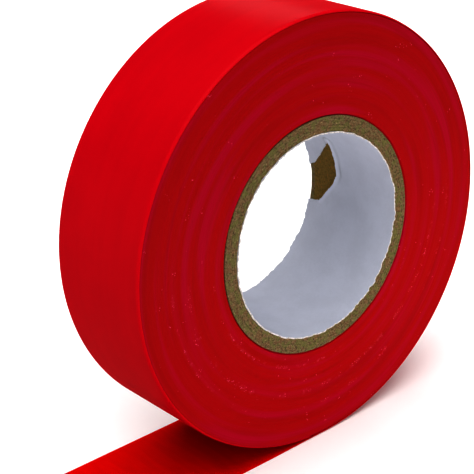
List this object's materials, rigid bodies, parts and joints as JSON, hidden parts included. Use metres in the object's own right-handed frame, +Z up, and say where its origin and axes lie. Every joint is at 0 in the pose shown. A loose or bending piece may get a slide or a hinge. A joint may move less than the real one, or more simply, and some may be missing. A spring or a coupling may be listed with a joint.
{
  "type": "electrical tape roll",
  "caption": "Roll of narrow PVC electrical tape on a paper-lined board core, with a free tail that draws off as the roll turns.",
  "frame": {"origin": "centre of the bore, midway between the two sides", "axes": "+Y along the bore towards the back side, +Z up, the tail leaves the bottom of the roll along -X"},
  "size_m": [0.114, 0.019, 0.068],
  "materials": {
    "liner_paper": "matt",
    "core_board": "rough, fibrous",
    "tape_film": "satin",
    "tape_adhesive": "satin, tacky"
  },
  "bodies": {
    "outer_turn": {"outer_turn": "tape_film"},
    "roll": {"core_liner": "liner_paper", "core_ply_1": "core_board", "core_ply_2": "core_board", "core_ply_3": "core_board", "core_ply_4": "core_board", "core_ply_5": "core_board", "wound_tape": "tape_film"},
    "tail": {"tail_backing": "tape_film", "tail_adhesive": "tape_adhesive"}
  },
  "joints": [
    {"name": "roll_spin", "type": "hinge", "parent": "outer_turn", "child": "roll", "pos_m": [0, 0, 0], "axis": [0, 1, 0], "range_deg": [0, 270]},
    {"name": "tail_draw", "type": "slide", "parent": "outer_turn", "child": "tail", "axis": [-1, 0, 0], "range_m": [0, 0.161]}
  ],
  "couplings": [
    {"joint": "tail_draw", "follows": "roll_spin", "m_per_rad": 0.034}
  ]
}
